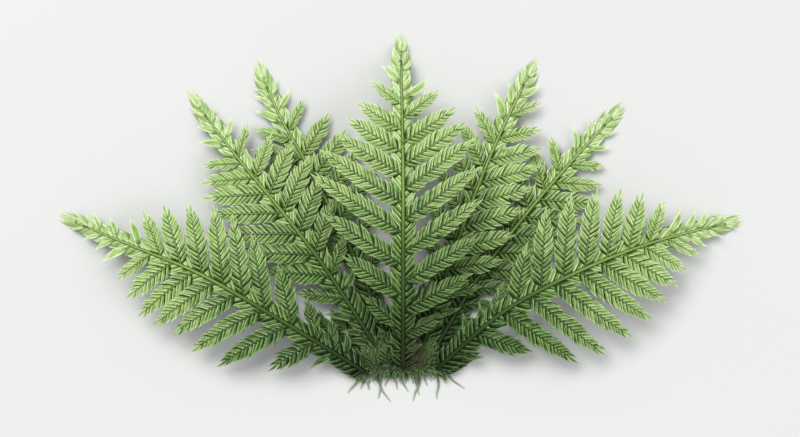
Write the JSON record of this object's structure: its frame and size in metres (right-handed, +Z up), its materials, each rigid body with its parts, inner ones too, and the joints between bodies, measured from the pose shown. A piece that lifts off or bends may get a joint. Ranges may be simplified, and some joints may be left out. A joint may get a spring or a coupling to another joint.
{
  "type": "aquarium moss plant",
  "caption": "Low fan of feathery moss fronds with alternate leafy side shoots, rising from a short creeping stem with thin rhizoids; lies on a surface as aquarium or terrarium planting.",
  "frame": {"origin": "middle of the plant's outline, on the surface that it lies on", "axes": "+X across the fan to the right, +Y from the rhizoids to the tip of the centre frond, +Z up from the surface"},
  "size_m": [0.0927, 0.0498, 0.01],
  "materials": {
    "moss_leaf": null,
    "creeping_stem": null
  },
  "bodies": {
    "root": {"creeping_stem": "creeping_stem", "frond_centre": "moss_leaf", "frond_left_outer": "moss_leaf", "frond_left_middle": "moss_leaf", "frond_left_inner": "moss_leaf", "frond_right_inner": "moss_leaf", "frond_right_middle": "moss_leaf", "frond_right_outer": "moss_leaf"}
  },
  "joints": []
}
